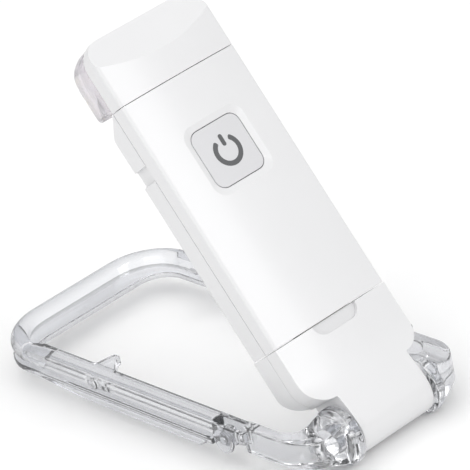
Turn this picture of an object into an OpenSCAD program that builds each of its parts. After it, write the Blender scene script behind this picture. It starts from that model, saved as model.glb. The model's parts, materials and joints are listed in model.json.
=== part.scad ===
// Clip-on reading light: a slim rechargeable lamp that pulls off a hinged base,
// on a clear sprung clip that doubles as its stand.
// Y runs from the hinge to the clip's tip, Z is up and X is the hinge axis.
// The origin is under the middle of the clip, on the surface it stands on.

/* [Light body] */
// Width of the lamp, side to side
body_w = 30; // [26:0.5:36]
// Length of the lamp between its two seams
body_len = 55.6; // [46:0.5:70]
// Length of the lamp head above the upper seam
head_len = 14.2; // [12:0.2:18]
// Front crown, measured forward from the hinge axis
front_reach = 4.2; // [3.8:0.1:5.5]
// Drop of the domed front from its crown to its sides
dome_drop = 1.6; // [0.6:0.1:2.2]
// Parting plane between front and back shells, behind the hinge axis
part_y = 1.3; // [1.1:0.1:1.8]
// Back face, measured back from the hinge axis
back_reach = 7.1; // [6.6:0.1:9]
// Shell wall thickness
wall = 1.2; // [0.8:0.1:1.5]
// Hairline gap between shells that meet
seam = 0.1; // [0.05:0.05:0.2]

/* [Head] */
// Back face of the clear light window, behind the hinge axis
lens_reach = 8.9; // [8.2:0.1:11]
// Wall of the clear light window
lens_wall = 1.5; // [1:0.1:2]
// Radius of the light window's corner at the back of the tip
lens_r = 6.5; // [4:0.5:7]
// Radius of the head's rounded corners
head_r = 5; // [3:0.5:6]
// How far the slanted bevel reaches down from the tip
bevel_len = 8; // [5:0.5:10]
// How far the bevel cuts back at the tip
bevel_depth = 4.2; // [2:0.1:4.6]
// Number of light-emitting diodes
led_count = 5; // [3:1:6]

/* [Button] */
// Side of the square button
button_w = 12.2; // [9:0.2:13.5]
// Button centre below the upper seam
button_drop = 17.6; // [14:0.2:22]
// Gap around the button
button_gap = 0.3; // [0.2:0.05:0.5]
// Travel of the button
button_travel = 0.4; // [0.2:0.05:0.5]
// Outer radius of the power symbol
symbol_r = 3.3; // [2:0.1:4]

/* [Plug] */
// Width of the plug's metal shell
plug_w = 12; // [11:0.1:13]
// Thickness of the plug's metal shell
plug_t = 4.5; // [4:0.1:5]
// Length of plug that stands out of the lamp
plug_len = 11.8; // [9.5:0.1:12]
// Clearance around the plug in its socket
plug_gap = 0.15; // [0.1:0.05:0.3]

/* [Base] */
// Radius of the hinge barrel
barrel_r = 5.3; // [4.5:0.1:6]
// Length of the hinge barrel
barrel_len = 19; // [15:0.5:21]
// Back face of the base, behind the hinge axis
base_reach = 6.7; // [6.3:0.1:8.5]
// Clearance between the hinge ears and the shoulders
ear_gap = 0.8; // [0.5:0.1:2]
// Floor under the plug's socket
base_floor = 0.4; // [0.4:0.1:2]
// Radius of the shoulders' corners
shoulder_r = 4.4; // [2:0.2:5]
// Half width of the thumb notch at the seam
thumb_half = 5.8; // [4:0.2:8]
// Depth of the thumb notch below the seam
thumb_drop = 2.7; // [1.5:0.1:3.5]

/* [Clip] */
// Angle between the clip and the lamp as it stands
fold_angle = 56; // [30:1:120]
// Inside width between the clip's arms
clip_inner_w = 39; // [34:0.5:46]
// Width of each arm
arm_w = 4.4; // [4.2:0.1:6]
// Top of the arms above the hinge axis
arm_top = 3; // [2.4:0.1:4]
// Thickness of the upper arms
arm_t = 2.9; // [2.2:0.1:3.4]
// Radius of the round front bar
bar_r = 2.1; // [1.6:0.1:2.6]
// Free space between the folded lamp's tip and the front bar
tip_gap = 0.8; // [0.5:0.1:4]
// Bend radius of the loop's front corners, to the bar's centre
corner_r = 11; // [7:0.5:14]
// Radius of the hinge ears
ear_r = 6.2; // [5.6:0.1:6.6]
// Thickness of the hinge ears
ear_t = 2.7; // [2:0.1:3.5]
// Thickness of the curved necks
neck_t = 2.8; // [2:0.1:3.6]
// Height of the curved necks
neck_h = 6; // [4:0.2:7]
// Outer bend radius of the necks
bend_out = 8.6; // [6:0.2:9]
// Inner bend radius of the necks
bend_in = 4.8; // [3:0.2:6]
// Distance from the hinge axis to the jaw's pin
knuckle_y = 21; // [18:0.5:26]
// Height of the jaw's pin above the hinge axis
knuckle_z = -0.6; // [-1:0.1:0]

/* [Lower jaw] */
// Thickness of the lower jaw's plate
jaw_t = 1.3; // [1:0.1:1.8]
// Gap between the closed jaws at the front bar
jaw_gap = 0.12; // [0.1:0.02:0.4]
// Width of the lower jaw's front plate
jaw_front_w = 5.6; // [4:0.2:6.5]
// Depth of the side flanges below the plate
flange_h = 1.3; // [0.6:0.1:1.8]
// Thickness of the side flanges
flange_t = 1.2; // [0.8:0.1:1.6]

/* [Pins and springs] */
// Radius of the hinge pins
hinge_pin_r = 1.25; // [1:0.05:1.5]
// Radius of the jaw pins
jaw_pin_r = 0.8; // [0.6:0.05:1]
// Radial running clearance of every pin
pin_gap = 0.05; // [0.02:0.01:0.1]
// Wire diameter of the jaw springs
wire_d = 0.5; // [0.4:0.05:0.55]
// Thickness of the hinge's friction washers
washer_t = 0.4; // [0.3:0.05:0.6]

/* [Hidden] */
$fn = 48;
half_w = body_w / 2;
socket_wall = 1;
plug_floor = 0.6;
shoulder_z = ear_r + ear_gap;
seam_low = shoulder_z + base_floor + socket_wall + plug_floor + plug_len;
seam_high = seam_low + body_len;
head_tip = seam_high + head_len;
dome_r = (half_w * half_w + dome_drop * dome_drop) / (2 * dome_drop);
button_z = seam_high - button_drop;
arm_in = clip_inner_w / 2;
arm_out = arm_in + arm_w;
arm_mid = (arm_in + arm_out) / 2;
bar_y = head_tip + tip_gap + bar_r;
bar_z = arm_top - bar_r;
arm_low = arm_top - arm_t;
jaw_top = bar_z - bar_r - jaw_gap;
jaw_low = jaw_top - jaw_t;
ear_in = barrel_len / 2 + washer_t + 0.2;
ear_out = ear_in + ear_t;
hinge_y = -(bar_y + bar_r - ear_r) / 2;
hinge_z = ear_r;
// The notches in the lamp's sides that the clip's snap nubs fold into.
notch_z = seam_high - 13.6;
notch_h = 3.6;
notch_depth = 1.2;
nub_tip_x = half_w - notch_depth + 0.5;
nub_tip_r = 1.2;
nub_y = notch_z - 0.1;
// Planes inside the lamp, measured back from the hinge axis.
board_y = 1.2;
board_t = 1;
board_w = 22;
board_low = seam_low + 6.5;
board_high = seam_high - 6.4;
plug_y = 1.5;
plug_wall = 0.35;
plug_tail = 6.2;
battery_gap = 0.2;
battery_t = 3.2;
led_board_t = 1;
led_board_y = part_y - 0.2 - led_board_t;
led_t = 0.8;
flange_y = -front_reach + 1.9;
flange_grip = 0.8;
cheek_t = 1;
cheek_r = 2.9;
jaw_ear_t = 0.9;
side_gap = 0.1;
coil_turns = 2;
coil_mid_r = jaw_pin_r + pin_gap + 0.35 + wire_d / 2;
// The switch's stem ends short of the board by the button's travel.
stem_r = 1.3;
stem_low = board_y - 0.3 - button_travel;
stem_len = 1.4;
cap_stem_end = stem_low - stem_len - 0.05;
// Where the necks meet the ears, measured along the clip from the hinge axis.
neck_low = -3.6;
neck_high = 4;
big = 200;

// ---- Frames ----

// Places what is drawn about the hinge axis, with the clip flat along Y.
module at_hinge() {
    translate([0, hinge_y, hinge_z]) children();
}

// Places what is drawn upright about the hinge axis, front towards -Y.
module in_light() {
    at_hinge() rotate([fold_angle - 90, 0, 0]) children();
}

// Places the same shape on both sides.
module both_sides() {
    for (side = [0, 1]) mirror([side, 0, 0]) children();
}

// A box from two corners.
module box(low, high) {
    translate(low) cube(high - low);
}

// A cylinder along X from x0 to x1.
module rod_x(r, x0, x1) {
    translate([x0, 0, 0]) rotate([0, 90, 0]) cylinder(r = r, h = x1 - x0);
}

// Extrudes an outline drawn in (y, z) along X, from x0 to x1.
module extrude_x(x0, x1) {
    translate([x0, 0, 0]) rotate([90, 0, 90]) linear_extrude(height = x1 - x0) children();
}

// Extrudes an outline drawn in (x, z) along Y, from y0 to y1.
module extrude_y(y0, y1) {
    translate([0, y1, 0]) rotate([90, 0, 0]) linear_extrude(height = y1 - y0) children();
}

// A rectangle with round corners, from two corners.
module round_rect(low, high, r) {
    hull() for (x = [low[0] + r, high[0] - r], y = [low[1] + r, high[1] - r])
        translate([x, y]) circle(r = r);
}

// ---- Outlines of the lamp ----

// The lamp's cross-section in (x, y), inset all round by d.
module body_section(d, back) {
    corner = max(1.5 - d, 0.4);
    intersection() {
        translate([0, dome_r - front_reach]) circle(r = dome_r - d, $fn = 200);
        round_rect([-half_w + d, -front_reach - 2], [half_w - d, back - d], corner);
    }
}

module body_block(z0, z1, d, back) {
    translate([0, 0, z0]) linear_extrude(height = z1 - z0) body_section(d, back);
}

// What the parting plane leaves on the front or on the back.
module front_half() {
    box([-big, -big, -big], [big, part_y - seam / 2, big]);
}

module back_half() {
    box([-big, part_y + seam / 2, -big], [big, big, big]);
}

// The slope at the top of the back shell, which leaves the window's light free.
module back_slope(d) {
    slope_len = 4.8;
    slope_back = 5.2;
    extrude_x(-big, big) polygon([
        [back_reach - slope_back - d, seam_high + 0.01],
        [back_reach + 0.01, seam_high - slope_len - d],
        [back_reach + big, seam_high - slope_len - d],
        [back_reach + big, seam_high + big],
        [back_reach - slope_back - d, seam_high + big]
    ]);
}

// ---- Clip ----

module loop_bar() {
    straight = arm_mid - corner_r;
    translate([0, bar_y, bar_z]) rod_x(bar_r, -straight, straight);
    both_sides()
        translate([straight, bar_y - corner_r, bar_z])
            rotate_extrude(angle = 90) translate([corner_r, 0]) circle(r = bar_r);
}

module arm() {
    box([arm_in, knuckle_y + cheek_r, arm_low], [arm_out, bar_y - corner_r, arm_top]);
    translate([arm_mid, bar_y - corner_r, bar_z]) rotate([90, 0, 0])
        cylinder(r = bar_r, h = 4);
}

// The snap nub on the arm's inner face, with its small outer pip.
module nub() {
    nub_top = arm_top - 0.5;
    translate([0, 0, nub_top - 2]) linear_extrude(height = 2) {
        translate([nub_tip_x + nub_tip_r, nub_y]) circle(r = nub_tip_r);
        polygon([
            [nub_tip_x + nub_tip_r, nub_y + nub_tip_r],
            [nub_tip_x + nub_tip_r, nub_y - nub_tip_r],
            [arm_in + 0.2, nub_y - 5],
            [arm_in + 0.2, nub_y + nub_tip_r + 0.8]
        ]);
    }
    translate([0, nub_y - 3, arm_low + arm_t / 2]) rod_x(1.3, arm_out - 0.2, arm_out + 0.8);
}

// The two cheeks that carry the jaw's pin, one on each side of the coil.
module cheeks() {
    for (x = [arm_in, arm_out - cheek_t]) {
        translate([0, knuckle_y, knuckle_z]) rod_x(cheek_r, x, x + cheek_t);
        box([x, knuckle_y - 6, arm_low], [x + cheek_t, knuckle_y + cheek_r + 1, arm_top]);
    }
}

// The curved neck from the cheeks to the hinge ear, which widens towards the ear.
module neck() {
    neck_out = arm_out - 1.9;
    start = knuckle_y - 4.5;
    outer = [neck_out - bend_out, neck_low + bend_out];
    inner = [neck_out - neck_t - bend_in, neck_high + bend_in];
    translate([0, 0, -neck_h / 2]) linear_extrude(height = neck_h) difference() {
        union() {
            intersection() {
                translate(outer) circle(r = bend_out, $fn = 96);
                translate([outer[0], neck_low]) square(bend_out);
            }
            translate([ear_out - 1.2, neck_low])
                square([outer[0] - ear_out + 1.2, start - neck_low]);
            translate(outer) square([bend_out, start - outer[1]]);
        }
        translate(inner) circle(r = bend_in, $fn = 96);
        translate([0, inner[1]]) square([neck_out - neck_t, big]);
        translate([0, neck_high]) square([inner[0], big]);
    }
    box([arm_in, knuckle_y - 7, arm_low], [arm_out, start, arm_top]);
}

module ear() {
    rod_x(ear_r, ear_in, ear_out - 0.7);
    rod_x(ear_r - 0.8, ear_in, ear_out);
}

module clip_frame() {
    color([0.86, 0.9, 0.93, 0.35]) at_hinge() difference() {
        union() {
            loop_bar();
            both_sides() {
                arm();
                nub();
                cheeks();
                neck();
                ear();
            }
        }
        both_sides() {
            rod_x(hinge_pin_r + pin_gap, 0, big);
            rod_x(hinge_pin_r + 0.9, ear_out - 1.2, big);
            translate([0, knuckle_y, knuckle_z]) rod_x(jaw_pin_r + pin_gap, 0, big);
        }
    }
}

// A headed pin through each ear, into the hinge barrel.
module hinge_pins() {
    color("silver") at_hinge() both_sides() {
        rod_x(hinge_pin_r, ear_in - 6, ear_out - 1);
        rod_x(hinge_pin_r + 0.8, ear_out - 1.1, ear_out - 0.3);
    }
}

module hinge_washers() {
    color("gainsboro") at_hinge() both_sides() difference() {
        rod_x(ear_r - 2, ear_in - 0.1 - washer_t, ear_in - 0.1);
        rod_x(hinge_pin_r + pin_gap, 0, big);
    }
}

module jaw_pins() {
    color("silver") at_hinge() both_sides()
        translate([0, knuckle_y, knuckle_z]) rod_x(jaw_pin_r, arm_in + 0.1, arm_out - 0.1);
}

// ---- Lower jaw ----

jaw_in = arm_in + side_gap;
jaw_out = arm_out - side_gap;
jaw_front = bar_y - bar_r - 2.8;
jaw_tip = jaw_front + jaw_front_w;
jaw_ear_x = arm_in + cheek_t + side_gap;

// The jaw's flat U in plan.
module jaw_plan() {
    outer_r = corner_r + arm_w / 2 - 2;
    inner_r = corner_r - arm_w / 2 - 2;
    start = knuckle_y + cheek_r + 0.6;
    difference() {
        round_rect([-jaw_out, start - 2 * outer_r], [jaw_out, jaw_tip], outer_r);
        translate([-big, start - big]) square([2 * big, big]);
        round_rect([-jaw_in, start - 4 * outer_r], [jaw_in, jaw_front], inner_r);
    }
}

// The side flange in (y, z), which tapers away towards the tip.
module flange_side() {
    start = knuckle_y + cheek_r + 0.6;
    taper = nub_y + 2.4;
    polygon([
        [start, jaw_top - 0.2],
        [start + 4, jaw_low - flange_h],
        [taper, jaw_low - flange_h],
        [taper + 14, jaw_low],
        [taper + 14, jaw_top - 0.2]
    ]);
}

// The arm of the jaw that reaches back to the pin, between the cheeks.
module jaw_ear() {
    translate([0, knuckle_y, knuckle_z])
        rod_x(cheek_r - 0.6, jaw_ear_x, jaw_ear_x + jaw_ear_t);
    box([jaw_ear_x, knuckle_y, jaw_low], [jaw_ear_x + jaw_ear_t, knuckle_y + 7, jaw_top]);
}

module clip_jaw() {
    color([0.86, 0.9, 0.93, 0.35]) at_hinge() difference() {
        union() {
            translate([0, 0, jaw_low]) linear_extrude(height = jaw_t) jaw_plan();
            both_sides() {
                extrude_x(jaw_out - flange_t, jaw_out) flange_side();
                jaw_ear();
            }
        }
        both_sides()
            translate([0, knuckle_y, knuckle_z]) rod_x(jaw_pin_r + pin_gap, 0, big);
    }
}

// The coil of each spring as one closed ring, with its two legs.
module jaw_springs() {
    x0 = jaw_ear_x + jaw_ear_t + side_gap;
    x1 = x0 + coil_turns * wire_d + 0.1;
    leg_z = coil_mid_r + wire_d / 2;
    color("silver") at_hinge() both_sides() translate([0, knuckle_y, knuckle_z]) {
        difference() {
            rod_x(coil_mid_r + wire_d / 2, x0, x1);
            rod_x(coil_mid_r - wire_d / 2, 0, big);
        }
        box([x0, -wire_d - 4, leg_z - wire_d], [x0 + wire_d, 0, leg_z]);
        box([x1 - wire_d, 0, -leg_z], [x1, 2.4, -leg_z + wire_d]);
    }
}

// ---- Base ----

// The base's side outline in (y, z): shoulders with a round lower back corner.
module base_side(d) {
    hull() {
        translate([-front_reach - 1, shoulder_z + d])
            square([1, seam_low - shoulder_z - 2 * d]);
        translate([base_reach - shoulder_r, shoulder_z + 2 + shoulder_r])
            circle(r = shoulder_r - d);
        translate([base_reach - d - 1, seam_low - d - 1]) square([1, 1]);
        translate([0, shoulder_z + d]) square([1, 1]);
    }
}

module base_block(d) {
    intersection() {
        body_block(shoulder_z + d, seam_low - seam, d, base_reach);
        extrude_x(-half_w + d, half_w - d) base_side(d);
        extrude_y(-big, big) round_rect(
            [-half_w + d, shoulder_z + d],
            [half_w - d, seam_low + 3 * shoulder_r],
            shoulder_r
        );
    }
}

// The web that joins the shoulders to the hinge barrel.
module base_web() {
    extrude_x(-barrel_len / 2, barrel_len / 2) polygon([
        [-barrel_r, 0],
        [-front_reach, shoulder_z + 6],
        [part_y - seam / 2, shoulder_z + 6],
        [part_y - seam / 2, shoulder_z + 1.2],
        [base_reach - 2, shoulder_z - 0.2],
        [barrel_r, 0]
    ]);
}

// The half-oval thumb notch at the seam, in (x, z).
module thumb_notch() {
    straight = thumb_half - thumb_drop;
    extrude_y(-front_reach - 2, -front_reach + 0.9) union() {
        for (x = [-straight, straight]) translate([x, seam_low]) circle(r = thumb_drop);
        translate([-straight, seam_low - thumb_drop]) square([2 * straight, 2 * thumb_drop]);
    }
}

lip_t = 1.35;
socket_w = plug_w + 2 * plug_gap;
socket_t = plug_t + 2 * plug_gap;
socket_low = seam_low - plug_len - plug_floor;

// Room inside the base for the plug socket.
module base_room() {
    fit = 0.05;
    box([-socket_w / 2 - socket_wall - fit, plug_y - socket_t / 2 - socket_wall - fit,
            socket_low - socket_wall - fit],
        [socket_w / 2 + socket_wall + fit, plug_y + socket_t / 2 + socket_wall + fit,
            seam_low + 1]);
    body_block(seam_low - lip_t - fit, seam_low + 1, wall, base_reach);
}

module base_front_shell() {
    color("white") in_light() difference() {
        union() {
            intersection() {
                base_block(0);
                front_half();
            }
            base_web();
            rod_x(barrel_r, -barrel_len / 2, barrel_len / 2);
        }
        base_room();
        thumb_notch();
        both_sides() rod_x(hinge_pin_r + pin_gap, ear_in - 6.3, big);
    }
}

module base_back_shell() {
    color("white") in_light() difference() {
        intersection() {
            base_block(0);
            back_half();
        }
        base_room();
        extrude_x(-barrel_len / 2 - seam, barrel_len / 2 + seam) polygon([
            [0, 0],
            [0, shoulder_z + 1.2 + seam],
            [part_y, shoulder_z + 1.2 + seam],
            [base_reach - 2, shoulder_z - 0.2 + seam],
            [base_reach, 0]
        ]);
    }
}

// The liner that grips the plug, with a lip that closes the base.
module plug_socket() {
    color("whitesmoke") in_light() difference() {
        union() {
            box([-socket_w / 2 - socket_wall, plug_y - socket_t / 2 - socket_wall,
                    socket_low - socket_wall],
                [socket_w / 2 + socket_wall, plug_y + socket_t / 2 + socket_wall,
                    seam_low - seam]);
            body_block(seam_low - lip_t, seam_low - seam, wall + 0.05, base_reach);
        }
        box([-socket_w / 2, plug_y - socket_t / 2, socket_low],
            [socket_w / 2, plug_y + socket_t / 2, seam_low + 1]);
        thumb_notch();
    }
}

// ---- Lamp shells ----

// A notch in each side of the back shell, or with grow, the wall round it.
module side_notches(grow) {
    both_sides() box(
        [half_w - notch_depth - grow, part_y - grow, notch_z - notch_h / 2 - grow],
        [half_w + 1, big, notch_z + notch_h / 2 + grow]
    );
}

// The hollow of the lamp.
module body_room() {
    difference() {
        body_block(seam_low + seam + wall, seam_high - wall, wall, back_reach);
        back_slope(wall);
        side_notches(wall);
    }
}

module plug_slot() {
    fit = 0.05;
    box([-plug_w / 2 - fit, plug_y - plug_t / 2 - fit, seam_low - 1],
        [plug_w / 2 + fit, plug_y + plug_t / 2 + fit, seam_low + wall + 2]);
}

module button_square(w, r) {
    translate([0, button_z]) round_rect([-w / 2, -w / 2], [w / 2, w / 2], r);
}

module front_shell() {
    color("white") in_light() difference() {
        intersection() {
            body_block(seam_low + seam, seam_high, 0, back_reach);
            front_half();
        }
        body_room();
        plug_slot();
        extrude_y(-big, 0) button_square(button_w + 2 * button_gap, 2.4);
        box([-3.5, -0.4, seam_high - wall - 1], [3.5, part_y + 1, seam_high + 1]);
    }
}

module back_shell() {
    color("white") in_light() difference() {
        intersection() {
            body_block(seam_low + seam, seam_high, 0, back_reach);
            back_half();
        }
        back_slope(0);
        body_room();
        plug_slot();
        side_notches(0);
    }
}

// The head's face outline in (x, z), inset by d.
module head_face(d) {
    round_rect([-half_w + d, seam_high - 3 * head_r], [half_w - d, head_tip - d], head_r - d);
}

// Everything in front of the slanted bevel, at depth d below it.
module bevel_cut(d) {
    extrude_x(-big, big) polygon([
        [-front_reach + d - bevel_depth, head_tip - 2 * bevel_len],
        [-front_reach + d, head_tip - bevel_len],
        [-front_reach + d + bevel_depth, head_tip],
        [-front_reach + d + 2 * bevel_depth, head_tip + bevel_len],
        [-big, head_tip + bevel_len]
    ]);
}

module head_solid(d, z0) {
    difference() {
        intersection() {
            body_block(z0, head_tip, d, back_reach);
            extrude_y(-big, big) head_face(d);
        }
        bevel_cut(d);
    }
}

module head_cover() {
    color("white") in_light() difference() {
        intersection() {
            head_solid(0, seam_high + seam);
            front_half();
        }
        head_solid(wall, seam_high + seam - 1);
    }
}

// The window's side outline in (y, z).
module window_side(d) {
    low = seam_high + seam + d;
    high = head_tip - 0.4 - d;
    r = lens_r - d;
    hull() {
        translate([part_y + seam / 2, low]) square([1, high - low]);
        translate([lens_reach - d - 0.6, low + 0.6]) circle(r = 0.6);
        translate([lens_reach - d - r, high - r]) circle(r = r);
    }
}

module light_window() {
    window_half = half_w - 1;
    room_half = window_half - lens_wall;
    room_high = head_tip - lens_wall - 0.6;
    color([0.9, 0.93, 0.96, 0.35]) in_light() difference() {
        intersection() {
            extrude_x(-window_half, window_half) window_side(0);
            extrude_y(-big, big) round_rect(
                [-window_half, seam_high - 3 * head_r], [window_half, head_tip - 0.4],
                head_r - 1);
            back_half();
        }
        box([-room_half, -1, seam_high + lens_wall],
            [room_half, lens_reach - lens_wall - 1.8, room_high - 3]);
    }
}

// ---- Light source ----

// The board fills the head's mouth, and the diodes and their frame sit in the window's room.
led_half = half_w - lens_wall - 1.5;
led_low = seam_high + 1.9;
led_high = head_tip - bevel_depth - 1.6;
led_board_low = seam_high + 0.3;
led_board_high = head_tip - 3.2;
led_z = (led_low + led_high) / 2;
led_pitch = (2 * led_half - 4) / led_count;
led_w = 2.8;
led_h = 3.5;

function led_x(i) = (i - (led_count - 1) / 2) * led_pitch;

module led_board() {
    color("ivory") in_light() intersection() {
        extrude_y(led_board_y, led_board_y + led_board_t) head_face(wall + 0.15);
        box([-big, -big, led_board_low], [big, big, led_board_high]);
    }
}

module leds() {
    led_back = led_board_y + led_board_t;
    color("khaki") in_light() for (i = [0 : led_count - 1]) translate([led_x(i), 0, 0])
        box([-led_w / 2, led_back, led_z - led_h / 2],
            [led_w / 2, led_back + led_t, led_z + led_h / 2]);
}

// A white frame round the diodes that throws the light backwards.
module led_reflector() {
    y0 = part_y + seam;
    fit = 0.25;
    color("white") in_light() difference() {
        box([-led_half + 0.3, y0, led_low + 0.2], [led_half - 0.3, y0 + 1, led_high - 0.2]);
        for (i = [0 : led_count - 1]) translate([led_x(i), 0, 0])
            box([-led_w / 2 - fit, -big, led_z - led_h / 2 - fit],
                [led_w / 2 + fit, big, led_z + led_h / 2 + fit]);
    }
}

module led_wires() {
    wire_r = 0.4;
    color("firebrick") in_light() both_sides()
        translate([1.6, board_y - wire_r - 0.05, board_high - 4])
            cylinder(r = wire_r, h = led_board_low - 0.05 - board_high + 4);
}

// ---- Electronics ----

module main_board() {
    color("darkgreen") in_light()
        box([-board_w / 2, board_y, board_low], [board_w / 2, board_y + board_t, board_high]);
}

// The charging and dimming chip, on the board's front.
module controller_chip() {
    color("dimgray") in_light()
        translate([-2, board_y - 1, board_low + 8]) cube([4, 1, 4]);
}

// Small parts on the board: a coil, capacitors, resistors and the charge lamp.
module board_parts() {
    color("tan") in_light() {
        translate([4.5, board_y - 1.1, board_low + 8]) cube([3, 1.1, 3]);
        for (i = [0 : 3]) translate([-8 + 2 * i, board_y - 0.6, board_low + 3]) cube([1.2, 0.6, 2]);
        for (i = [0 : 2]) translate([-8, board_y - 0.5, board_low + 8 + 2 * i]) cube([2, 0.5, 1.2]);
        translate([8, board_y - 0.6, board_low + 2]) cube([1.6, 0.6, 0.8]);
    }
}

module switch_body() {
    switch_h = 1.5;
    color("dimgray") in_light() difference() {
        box([-3, board_y - switch_h, button_z - 3], [3, board_y, button_z + 3]);
        translate([0, board_y - 0.1, button_z]) rotate([90, 0, 0])
            cylinder(r = stem_r + 0.15, h = 5);
    }
}

battery_y = board_y + board_t + battery_gap;

module battery() {
    color("lightsteelblue") in_light()
        box([-9, battery_y, board_low + 5], [9, battery_y + battery_t, board_high - 4]);
}

// The foam strip that keeps the cell still against the back shell.
module battery_pad() {
    color("slategray") in_light()
        box([-6, battery_y + battery_t, board_low + 9],
            [6, back_reach - wall, board_high - 8]);
}

module battery_wires() {
    wire_r = 0.4;
    color("crimson") in_light() both_sides()
        translate([3, battery_y + wire_r, board_low + 1])
            cylinder(r = wire_r, h = 3.95);
}

// ---- Plug ----

plug_tip = seam_low - plug_len;

module plug_shell() {
    color("silver") in_light() difference() {
        box([-plug_w / 2, plug_y - plug_t / 2, plug_tip],
            [plug_w / 2, plug_y + plug_t / 2, seam_low + plug_tail]);
        box([-plug_w / 2 + plug_wall, plug_y - plug_t / 2 + plug_wall, plug_tip - 1],
            [plug_w / 2 - plug_wall, plug_y + plug_t / 2 - plug_wall, big]);
        for (x = [-3, 3], y = [-plug_t, plug_t]) translate([x, plug_y + y / 2, plug_tip + 6.5])
            cube([2, 2, 2.2], center = true);
    }
}

module plug_tongue() {
    color("dimgray") in_light() {
        box([-plug_w / 2 + 0.6, plug_y - 0.1, plug_tip + 0.6],
            [plug_w / 2 - 0.6, plug_y + 1.7, seam_low + 1]);
        box([-plug_w / 2 + 0.4, plug_y - plug_t / 2 + 0.4, seam_low + 1],
            [plug_w / 2 - 0.4, plug_y + plug_t / 2 - 0.4, seam_low + plug_tail]);
    }
}

module plug_contacts() {
    pitch = 2.25;
    color("gold") in_light() for (i = [-1.5 : 1.5])
        translate([i * pitch - 0.5, plug_y - 0.3, plug_tip + 1.4]) cube([1, 0.2, 7.6]);
}

// ---- Button ----

module button_cap() {
    cap_top = -front_reach + 0.1;
    color("white") in_light() {
        difference() {
            extrude_y(cap_top, flange_y) button_square(button_w, 2.1);
            extrude_y(cap_top - 1, cap_top + 0.2) symbol(0.05);
        }
        extrude_y(flange_y, flange_y + flange_grip)
            button_square(button_w + 2 * button_gap + 1, 1.5);
        translate([0, cap_stem_end, button_z]) rotate([90, 0, 0])
            cylinder(r = 1.6, h = cap_stem_end - flange_y);
    }
}

// The power symbol: a ring open at the top, with a short bar in the gap.
module symbol(d) {
    ring_t = 1;
    bar_w = 0.9;
    gap_w = bar_w + 1.6;
    translate([0, button_z]) {
        difference() {
            circle(r = symbol_r + d);
            circle(r = symbol_r - ring_t - d);
            translate([-gap_w / 2 + d, 0]) square([gap_w - 2 * d, symbol_r + 1]);
        }
        translate([-bar_w / 2 - d, 1.1 - d]) square([bar_w + 2 * d, symbol_r - 1.1 + 0.4 + 2 * d]);
    }
}

module power_symbol() {
    color("dimgray") in_light()
        extrude_y(-front_reach + 0.12, -front_reach + 0.3) symbol(0);
}

module switch_stem() {
    color("black") in_light() translate([0, stem_low, button_z]) rotate([90, 0, 0])
        cylinder(r = stem_r, h = stem_len);
}

clip_frame();
hinge_pins();
hinge_washers();
jaw_pins();
clip_jaw();
jaw_springs();
base_front_shell();
base_back_shell();
plug_socket();
front_shell();
back_shell();
head_cover();
light_window();
led_board();
leds();
led_reflector();
led_wires();
main_board();
controller_chip();
board_parts();
switch_body();
battery();
battery_pad();
battery_wires();
plug_shell();
plug_tongue();
plug_contacts();
button_cap();
power_symbol();
switch_stem();
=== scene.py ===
"""The looks of a clip-on reading light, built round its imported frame."""

import json
import math

import bmesh
import bpy
from bpy.props import FloatProperty, FloatVectorProperty, PointerProperty
from mathutils import Matrix, Vector


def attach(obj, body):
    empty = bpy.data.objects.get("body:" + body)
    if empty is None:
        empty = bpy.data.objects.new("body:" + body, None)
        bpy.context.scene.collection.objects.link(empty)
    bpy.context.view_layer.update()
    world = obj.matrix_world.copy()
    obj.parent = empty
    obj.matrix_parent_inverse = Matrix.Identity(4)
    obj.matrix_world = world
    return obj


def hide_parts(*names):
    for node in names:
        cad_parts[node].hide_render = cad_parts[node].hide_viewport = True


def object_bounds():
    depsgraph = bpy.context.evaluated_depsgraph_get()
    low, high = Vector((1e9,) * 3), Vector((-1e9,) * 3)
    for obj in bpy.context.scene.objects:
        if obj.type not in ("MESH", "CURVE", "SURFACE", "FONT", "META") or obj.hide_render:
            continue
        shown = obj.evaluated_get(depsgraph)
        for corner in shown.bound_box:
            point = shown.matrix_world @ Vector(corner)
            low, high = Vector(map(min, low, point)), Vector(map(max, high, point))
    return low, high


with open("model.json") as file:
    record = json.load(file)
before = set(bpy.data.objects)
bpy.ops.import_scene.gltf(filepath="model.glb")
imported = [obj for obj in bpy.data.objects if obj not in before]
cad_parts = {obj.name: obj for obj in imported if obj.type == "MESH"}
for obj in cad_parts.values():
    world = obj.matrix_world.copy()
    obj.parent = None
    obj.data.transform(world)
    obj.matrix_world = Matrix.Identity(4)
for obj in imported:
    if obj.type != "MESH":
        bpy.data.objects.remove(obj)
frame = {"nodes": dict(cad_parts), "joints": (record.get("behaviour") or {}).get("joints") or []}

bl_info = {
    "name": "Clip-on Reading Light",
    "version": (1, 0, 0),
    "blender": (4, 5, 0),
    "location": "View3D > Sidebar > Reading Light",
    "description": "Builds the visible pieces of a clip-on reading light",
    "category": "Object",
}

CAD_BOX = [list(corner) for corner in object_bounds()]
JOINTS = {joint["name"]: joint for joint in frame["joints"]}

# Shapes are drawn in millimetres about the hinge axis and scaled once, when placed.
MM = 1000.0
HINGE = Vector(JOINTS["fold_hinge"]["pos_m"])
LAMP_UP = Vector(JOINTS["light_pull"]["axis"]).normalized()
LAMP_BACK = LAMP_UP.cross(Vector((1, 0, 0)))
CLIP_PLACE = Matrix.Translation(HINGE) @ Matrix.Scale(1 / MM, 4)
LAMP_PLACE = (
    Matrix.Translation(HINGE)
    @ Matrix((Vector((1, 0, 0)), LAMP_BACK, LAMP_UP)).transposed().to_4x4()
    @ Matrix.Scale(1 / MM, 4)
)

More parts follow.
